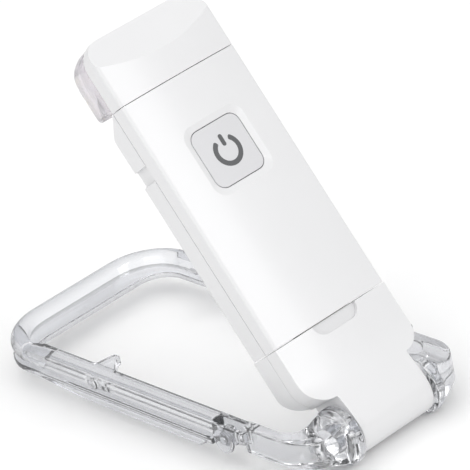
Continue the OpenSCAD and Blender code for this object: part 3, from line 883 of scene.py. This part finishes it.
class READING_OT_base(bpy.types.Operator):
    """Builds the hinged base: its front shell with the barrel, and its back shell"""

    bl_idname = "reading_light.base"
    bl_label = "Base"

    def execute(self, context):
        s = sizes()
        self.front(s)
        self.back(s)
        return {"FINISHED"}

    def shoulders(self, tongue, half, low_z, high_z, foot, radius):
        """The base seen from the front, with round shoulders over the barrel."""
        outline = [
            (-half, high_z), (-half, low_z), (-tongue, low_z), (-tongue, foot),
            (tongue, foot), (tongue, low_z), (half, low_z), (half, high_z),
        ]
        return outline, {1: radius, 6: radius, 2: 1.1, 5: 1.1}

    def front(self, s):
        high = drawn_box("base_front_shell", LAMP_PLACE)[1]
        half, barrel, tongue, crest = high.x, BARREL, TONGUE, BASE_FRONT
        parting = drawn_box("base_back_shell", LAMP_PLACE)[0].y - GAP
        shoulder_z = SHOULDER_Z
        shell = bmesh.new()
        outline, corners = self.shoulders(
            tongue, half, shoulder_z, high.z, -barrel - 1, s.shoulder * MM)
        plate(shell, outline, 1, -barrel - 1, barrel + 1, corners, segments=10)
        side = bmesh.new()
        top = 13.0
        line = [(crest, high.z), (crest, top)]
        line += [(flare(z, crest, barrel, top), z) for z in reversed(steps(0, top, 14))]
        turns = 30
        line += [
            (-barrel * math.cos(math.pi * i / turns), -barrel * math.sin(math.pi * i / turns))
            for i in range(turns + 1)
        ]
        line += [(5.1, 3.4), (WEB_BACK, shoulder_z - 0.2), (parting, shoulder_z + 1.2),
                 (parting, high.z)]
        plate(side, line, 0, -half - 1, half + 1)
        shell = carve(shell, side, "INTERSECT")
        soften(shell, 0.5, lambda e: self.front_rim(e, parting, high.z), turn=50, segments=4)
        slices(shell, 0, steps(-half, half, 30))
        crown(shell, crest, parting, half, lambda z: ease(1.0, top + 1, z))
        # The thumb notch: half its width, and how far it drops from the seam.
        notch = bmesh.new()
        reach, drop = 5.8, 2.7
        cut = [(-reach, high.z - drop), (reach, high.z - drop),
               (reach, high.z + 1), (-reach, high.z + 1)]
        plate(notch, cut, 1, crest - 2, crest + 1.1, {0: 2.6, 1: 2.6}, segments=10)
        shell = carve(shell, notch)
        soften(shell, 0.22, lambda e: all(
            abs(v.co.x) < reach + 0.1 and high.z - drop - 0.1 < v.co.z < high.z - 0.05
            and v.co.y < crest + 0.75 for v in e.verts), turn=50, segments=3)
        room = bmesh.new()
        liner_low, liner_high = drawn_box("plug_socket", LAMP_PLACE)
        plug_low, plug_high = drawn_box("plug_shell", LAMP_PLACE)
        reach_x = plug_high.x + LINER_WALL
        block(room, (-reach_x, plug_low.y - LINER_WALL, liner_low.z - SLIP),
              (reach_x, parting + 1, high.z + 1))
        shell = carve(shell, room)
        lip = bmesh.new()
        block(lip, (liner_low.x - TOUCH, crest + 1.2, high.z - LIP),
              (liner_high.x + TOUCH, parting + 1, high.z + 1))
        slices(lip, 0, steps(-half, half, 16))
        crown(lip, crest, parting, half)
        shell = carve(shell, lip)
        bore = bmesh.new()
        rod(bore, PIN_BORE, (3.8, 0, 0), (tongue + 2, 0, 0))
        mirrored(bore)
        shell = carve(shell, bore)
        settle("base_front_piece", shell, LAMP_PLACE, "base",
               finish("white ABS, moulded satin"), ["base_front_shell"])

    def front_rim(self, edge, parting, top):
        """Edges of the front's outline: sides, shoulders, tongue and barrel ends."""
        middle = (edge.verts[0].co + edge.verts[1].co) / 2
        ends = [f.normal for f in edge.link_faces]
        across = min(abs(n.x) + abs(n.z) * (middle.z > 4) for n in ends)
        return middle.y < parting - 1 and middle.z < top - 0.01 and across < 0.9 and (
            middle.y < -0.5 or middle.z < 4)

    def back(self, s):
        low, high = drawn_box("base_back_shell", LAMP_PLACE)
        half, tongue, shoulder_z = high.x, TONGUE + GAP, SHOULDER_Z
        shell = bmesh.new()
        outline = [(-half, high.z), (-half, shoulder_z), (half, shoulder_z), (half, high.z)]
        plate(shell, outline, 1, low.y, high.y, {1: s.shoulder * MM, 2: s.shoulder * MM},
              segments=10)
        side = bmesh.new()
        line = [(low.y, shoulder_z), (high.y, shoulder_z + 1.6), (high.y, high.z),
                (low.y, high.z)]
        plate(side, line, 0, -half - 1, half + 1, {1: 3.9}, segments=10)
        shell = carve(shell, side, "INTERSECT")
        soften(shell, 1.2, lambda e: all(v.co.y > low.y + 0.3 for v in e.verts) and
               all(v.co.z < high.z - 0.01 or v.co.y > high.y - 0.01 for v in e.verts)
               and not all(v.co.z > high.z - 0.01 for v in e.verts), turn=35, segments=5)
        soften(shell, 0.5, lambda e: all(
            v.co.z > high.z - 0.01 and v.co.y > low.y + 0.3 for v in e.verts),
            turn=40, segments=3)
        web = bmesh.new()
        cut = [(low.y - 1, 4), (high.y, 4), (WEB_BACK + GAP, shoulder_z - GAP),
               (low.y - 1, shoulder_z + 1.3)]
        plate(web, cut, 0, -tongue, tongue)
        shell = carve(shell, web)
        room = bmesh.new()
        liner_low, liner_high = drawn_box("plug_socket", LAMP_PLACE)
        plug_high = drawn_box("plug_shell", LAMP_PLACE)[1]
        reach_x = plug_high.x + LINER_WALL
        block(room, (-reach_x, low.y - 1, liner_low.z - SLIP),
              (reach_x, plug_high.y + LINER_WALL, high.z + 1))
        shell = carve(shell, room)
        lip = bmesh.new()
        block(lip, (liner_low.x - TOUCH, low.y - 1, high.z - LIP),
              (liner_high.x + TOUCH, liner_high.y + TOUCH, high.z + 1))
        shell = carve(shell, lip)
        settle("base_back_piece", shell, LAMP_PLACE, "base",
               finish("white ABS, moulded satin"), ["base_back_shell"])


# ---- The clip ----


def knuckle_middle():
    """Where the jaw turns on the clip."""
    low, high = drawn_box("jaw_pins", CLIP_PLACE)
    return (low + high) / 2


class READING_OT_clip_frame(bpy.types.Operator):
    """Builds the clear clip: round front bar, arms, nubs, cheeks, necks and hinge ears"""

    bl_idname = "reading_light.clip_frame"
    bl_label = "Clip Frame"

    def execute(self, context):
        s = sizes()
        high = drawn_box("clip_frame", CLIP_PLACE)[1]
        bar, bend = s.bar * MM, s.loop_corner * MM
        arm_w, arm_top, arm_t = 4.4, 3.0, 2.9
        arm_out = high.x - 0.8
        arm_in = arm_out - arm_w
        mid = arm_out - arm_w / 2
        bar_y, bar_z = high.y - bar, arm_top - bar
        knuckle = knuckle_middle()
        clip = bmesh.new()
        # The front bar and its corners, one round sweep from arm to arm.
        bends, overlap = 14, 5
        straight = Matrix.Translation((0, overlap, 0))
        end = disc(clip, bar, (mid, bar_y - bend - overlap, bar_z), "X", 32)
        end = draw_on(clip, end, straight)
        end = draw_on(clip, end, about(
            (mid - bend, bar_y - bend, bar_z), math.pi / 2 / bends, "Z"), bends)
        end = draw_on(clip, end, Matrix.Translation((-2 * (mid - bend), 0, 0)))
        end = draw_on(clip, end, about(
            (bend - mid, bar_y - bend, bar_z), math.pi / 2 / bends, "Z"), bends)
        draw_on(clip, end, straight.inverted())
        bmesh.ops.recalc_face_normals(clip, faces=clip.faces)
        # One arm with its two round cheeks, mirrored below.
        cheek, cheek_r = 1.0, 2.9
        one = bmesh.new()
        block(one, (arm_in, knuckle.y + cheek_r, arm_top - arm_t),
              (arm_out, bar_y - bend, arm_top))
        self.nub(one, arm_in, arm_out, arm_top)
        for x in (arm_in, arm_out - cheek):
            rod(one, cheek_r, (x, knuckle.y, knuckle.z), (x + cheek, knuckle.y, knuckle.z))
            block(one, (x, knuckle.y - 6, arm_top - arm_t),
                  (x + cheek, knuckle.y + 3.9, arm_top))
        self.neck(one, arm_in, arm_out, arm_top - arm_t, arm_top, knuckle.y)
        mirrored(one)
        join(clip, one)
        clip = melted(clip, s.fine * MM, 5)
        self.blend_ends(clip, bar_y - bend)
        ear, head_room = ear_inside(), 2.15
        holes = bmesh.new()
        rod(holes, PIN_BORE, (ear - 1, 0, 0), (ear + 4, 0, 0), 32)
        sink = bmesh.new()
        rod(sink, head_room, (ear + 1.5, 0, 0), (ear + 4, 0, 0), 32)
        mirrored(sink)
        rod(holes, JAW_BORE, (arm_in - 1, knuckle.y, knuckle.z),
            (arm_out + 1, knuckle.y, knuckle.z), 24)
        mirrored(holes)
        settle("clip_frame_piece", carve(carve(clip, holes), sink), CLIP_PLACE, "clip",
               finish("clear polycarbonate, polished"), ["clip_frame"], turn=60)
        return {"FINISHED"}

    def blend_ends(self, bm, y):
        """Lets the square arms run softly into the round bar."""
        near = [v for v in bm.verts if y - 2.2 < v.co.y < y + 1.6]
        for _ in range(45):
            bmesh.ops.smooth_vert(
                bm, verts=near, factor=0.5,
                use_axis_x=True, use_axis_y=True, use_axis_z=True)

    def nub(self, bm, arm_in, arm_out, top):
        """The snap nub on the arm's inner face and the round pip outside."""
        shell_high = drawn_box("front_shell", LAMP_PLACE)[1]
        y, tip = shell_high.z - 13.7, shell_high.x - 0.7
        rod(bm, 1.2, (tip + 1.2, y, top - 2.5), (tip + 1.2, y, top - 0.5), 24)
        outline = [(tip + 1.2, y + 1.2), (arm_in + 0.3, y + 2.0), (arm_in + 0.3, y - 5),
                   (tip + 1.2, y - 1.2)]
        plate(bm, outline, 2, top - 2.5, top - 0.5)
        rod(bm, 1.3, (arm_out - 0.3, y - 3, top - 1.45), (arm_out + 0.8, y - 3, top - 1.45), 24)

    def neck(self, bm, arm_in, arm_out, arm_low, arm_top, knuckle_y):
        """The curved neck from the cheeks round to the hinge ear."""
        ear_in = ear_inside()
        ear_out = ear_in + 2.7
        out, thick, tall = arm_out - 1.9, 2.8, 6.0
        inner_y, outer_y, inner_bend, outer_bend = 4.0, -3.6, 4.8, 8.6
        outline = [
            (out - thick, knuckle_y - 4.5), (out - thick, inner_y), (ear_out - 1.2, inner_y),
            (ear_out - 1.2, outer_y), (out, outer_y), (out, knuckle_y - 4.5),
        ]
        band = bmesh.new()
        plate(band, outline, 2, -tall / 2, tall / 2,
              {1: inner_bend, 4: outer_bend}, segments=14)
        slices(band, 0, steps(ear_out - 1.2, out, 20))
        for vert in band.verts:
            # The band is half as tall again where it meets the ear.
            vert.co.z *= 1 + 0.5 * (1 - ease(ear_out - 0.6, out - 4.2, vert.co.x))
        join(bm, band)
        block(bm, (arm_in, knuckle_y - 7, arm_low), (arm_out, knuckle_y - 4.5, arm_top))
        rod(bm, 6.2, (ear_in, 0, 0), (ear_out - 0.6, 0, 0), 64)
        rod(bm, 5.5, (ear_in, 0, 0), (ear_out, 0, 0), 64)


def ear_inside():
    """Inner face of the hinge ears: just outside the friction washers."""
    return drawn_box("hinge_washers", CLIP_PLACE)[1].x + 0.1


class READING_OT_jaw(bpy.types.Operator):
    """Builds the clear lower jaw and its two steel springs"""

    bl_idname = "reading_light.jaw"
    bl_label = "Lower Jaw"

    def execute(self, context):
        s = sizes()
        self.plate(s)
        self.springs(s)
        return {"FINISHED"}

    def plate(self, s):
        low, high = drawn_box("clip_jaw", CLIP_PLACE)
        knuckle = knuckle_middle()
        bend = s.loop_corner * MM
        out, width, thick, deep = high.x, 4.2, 1.3, 1.3
        inner = out - width
        bottom = low.z + deep if low.z < -3.5 else low.z
        top = bottom + thick
        start, tip = knuckle.y + 3.5, high.y
        front = tip - 5.6
        jaw = bmesh.new()
        outline = [
            (-out, start), (-inner, start), (-inner, front), (inner, front),
            (inner, start), (out, start), (out, tip), (-out, tip),
        ]
        plate(jaw, outline, 2, bottom, top,
              {6: bend, 7: bend, 2: bend - 4.4, 3: bend - 4.4}, segments=12)
        taper = drawn_box("front_shell", LAMP_PLACE)[1].z - 11.3
        side = [(start, top - 0.2), (start + 4, low.z), (taper, low.z),
                (taper + 14, bottom), (taper + 14, top - 0.2)]
        one = bmesh.new()
        plate(one, side, 0, out - 1.2, out)
        x = inner + 1.1
        rod(one, 2.3, (x, knuckle.y, knuckle.z), (x + 0.9, knuckle.y, knuckle.z), 32)
        block(one, (x, knuckle.y, bottom), (x + 0.9, knuckle.y + 7, top))
        mirrored(one)
        join(jaw, one)
        jaw = melted(jaw, s.fine * MM * 0.85, 3)
        holes = bmesh.new()
        rod(holes, JAW_BORE, (x - 1, knuckle.y, knuckle.z),
            (x + 2, knuckle.y, knuckle.z), 24)
        mirrored(holes)
        settle("clip_jaw_piece", carve(jaw, holes), CLIP_PLACE, "jaw",
               finish("clear polycarbonate, polished"), ["clip_jaw"], turn=60)

    def springs(self, s):
        """Two turns of wire round each jaw pin, with a leg on either plate."""
        high = drawn_box("jaw_springs", CLIP_PLACE)[1]
        knuckle = knuckle_middle()
        wire = s.wire * MM
        radius, turns, count, leg = 1.45, 2.25, 63, 4.3
        pitch = wire + TOUCH
        first_x = high.x - wire / 2 - 0.02 - turns * pitch + 0.1
        spring = bmesh.new()
        end = disc(spring, wire / 2, (first_x, leg, radius), "X", 12)
        end = draw_on(spring, end, Matrix.Translation((0, -leg, 0)))
        end = draw_on(spring, end, about(
            (0, 0, 0), 2 * math.pi * turns / count, "X",
            (pitch * turns / count, 0, 0)), count)
        draw_on(spring, end, Matrix.Translation((0, 0, -0.9)))
        bmesh.ops.translate(spring, vec=(0, knuckle.y, knuckle.z), verts=spring.verts)
        bmesh.ops.recalc_face_normals(spring, faces=spring.faces)
        mirrored(spring)
        settle("jaw_springs_piece", spring, CLIP_PLACE, "jaw",
               finish("spring steel wire"), ["jaw_springs"])


# ---- What stays as the frame has it ----


class READING_OT_inner_parts(bpy.types.Operator):
    """Gives the carried-over parts their finishes"""

    bl_idname = "reading_light.inner_parts"
    bl_label = "Inner Parts"

    def execute(self, context):
        kept = {
            "hinge_pins": "zinc-plated steel", "hinge_washers": "white nylon",
            "jaw_pins": "zinc-plated steel", "plug_socket": "white POM, moulded",
            "led_board": "white aluminium-core board", "leds": "yellow phosphor resin",
            "led_reflector": "white reflector plastic", "led_wires": "red PVC",
            "main_board": "green glass-epoxy board", "controller_chip": "epoxy chip body",
            "board_parts": "ceramic and tin parts", "switch_body": "black glass-filled nylon",
            "battery": "aluminium pouch foil", "battery_pad": "grey foam",
            "battery_wires": "red PVC", "plug_shell": "nickel-plated steel",
            "plug_tongue": "black glass-filled nylon", "plug_contacts": "gold-plated contact",
            "switch_stem": "black glass-filled nylon",
        }
        for node, name in kept.items():
            piece = frame["nodes"][node]
            piece.data.materials.clear()
            piece.data.materials.append(finish(name))
        return {"FINISHED"}


# ---- The stage ----


class READING_OT_stage(bpy.types.Operator):
    """Lays the pale floor and sets the soft lights and the camera"""

    bl_idname = "reading_light.stage"
    bl_label = "Stage"

    def execute(self, context):
        self.camera(context)
        self.floor()
        self.lights(context)
        context.scene.view_settings.view_transform = "Standard"
        return {"FINISHED"}

    def camera(self, context):
        """A long lens from the front left, turned so that the lamp leans to the left."""
        # Where the camera's right and up point in the frame.
        right = Vector((0.7207, -0.6648, -0.1968))
        up = Vector((0.442, 0.2218, 0.8692))
        back = right.cross(up)
        data = bpy.data.cameras.new("camera")
        data.sensor_width = 36.0
        data.lens = 297.7
        data.clip_start, data.clip_end = 0.05, 10.0
        camera = bpy.data.objects.new("camera", data)
        stand = Matrix.Translation((-0.4121, -0.5612, 0.3868))
        camera.matrix_world = stand @ Matrix((right, up, back)).transposed().to_4x4()
        context.scene.collection.objects.link(camera)
        context.scene.camera = camera

    def floor(self):
        """A pale sheet under the light."""
        bm = bmesh.new()
        bmesh.ops.create_grid(bm, x_segments=4, y_segments=4, size=1.6)
        bmesh.ops.translate(bm, vec=(0, 0, CAD_BOX[0][2]), verts=bm.verts)
        mesh = bpy.data.meshes.new("floor")
        bm.to_mesh(mesh)
        bm.free()
        mesh.materials.append(moulded("matt white paper", colours().floor, 0.8, 2.0, 0.01))
        floor = bpy.data.objects.new("floor", mesh)
        bpy.context.scene.collection.objects.link(floor)

    def lights(self, context):
        """A studio that is lighter overhead than at the horizon, and three soft boxes."""
        world = bpy.data.worlds.new("studio")
        world.use_nodes = True
        tree = world.node_tree
        tree.nodes.clear()
        where = add(tree, "ShaderNodeTexCoord")
        split = add(tree, "ShaderNodeSeparateXYZ", links={"Vector": where.outputs["Generated"]})
        height = add(
            tree, "ShaderNodeMapRange", {"From Min": 0.0, "From Max": 0.5, "To Min": 0.6,
                                         "To Max": 1.0}, {"Value": split.outputs["Z"]})
        glow = add(tree, "ShaderNodeBackground", {"Strength": 0.86})
        grey = add(tree, "ShaderNodeCombineColor", links={
            "Red": height.outputs["Result"], "Green": height.outputs["Result"],
            "Blue": height.outputs["Result"]})
        tree.links.new(grey.outputs["Color"], glow.inputs["Color"])
        add(tree, "ShaderNodeOutputWorld", links={"Surface": glow.outputs["Background"]})
        context.scene.world = world
        target = Vector((0, 0, 0.035))
        for name, spot, size, power in (
            ("key", (0.14, -0.66, 0.52), 0.3, 1.15),
            ("left", (-0.6, -0.25, 0.5), 0.6, 1.3),
            ("top", (0.05, 0.35, 0.8), 0.8, 1.3),
        ):
            data = bpy.data.lights.new(name, "AREA")
            data.shape = "SQUARE"
            data.size = size
            data.energy = power
            light = bpy.data.objects.new(name, data)
            aim = (target - Vector(spot)).to_track_quat("-Z", "Y")
            light.matrix_world = Matrix.Translation(spot) @ aim.to_matrix().to_4x4()
            context.scene.collection.objects.link(light)


class READING_PT_light(bpy.types.Panel):
    """Lists the steps that build the reading light"""

    bl_idname = "READING_PT_light"
    bl_label = "Reading Light"
    bl_space_type = "VIEW_3D"
    bl_region_type = "UI"
    bl_category = "Reading Light"

    def draw(self, context):
        for step in STEPS:
            self.layout.operator(step.bl_idname)
        for group in (sizes(), colours()):
            for name in group.__annotations__:
                self.layout.prop(group, name)


STEPS = (
    READING_OT_front_shell,
    READING_OT_back_shell,
    READING_OT_head,
    READING_OT_button,
    READING_OT_base,
    READING_OT_clip_frame,
    READING_OT_jaw,
    READING_OT_inner_parts,
    READING_OT_stage,
)
CLASSES = (LightSizes, LightColours, *STEPS, READING_PT_light)


def register():
    for cls in CLASSES:
        bpy.utils.register_class(cls)
    bpy.types.Scene.reading_light_sizes = PointerProperty(type=LightSizes)
    bpy.types.Scene.reading_light_colours = PointerProperty(type=LightColours)


def unregister():
    del bpy.types.Scene.reading_light_colours
    del bpy.types.Scene.reading_light_sizes
    for cls in reversed(CLASSES):
        bpy.utils.unregister_class(cls)


def main():
    register()
    bpy.ops.reading_light.stage()
    bpy.ops.reading_light.front_shell()
    bpy.ops.reading_light.back_shell()
    bpy.ops.reading_light.head()
    bpy.ops.reading_light.button()
    bpy.ops.reading_light.base()
    bpy.ops.reading_light.clip_frame()
    bpy.ops.reading_light.jaw()
    bpy.ops.reading_light.inner_parts()


if __name__ == "__main__":
    main()
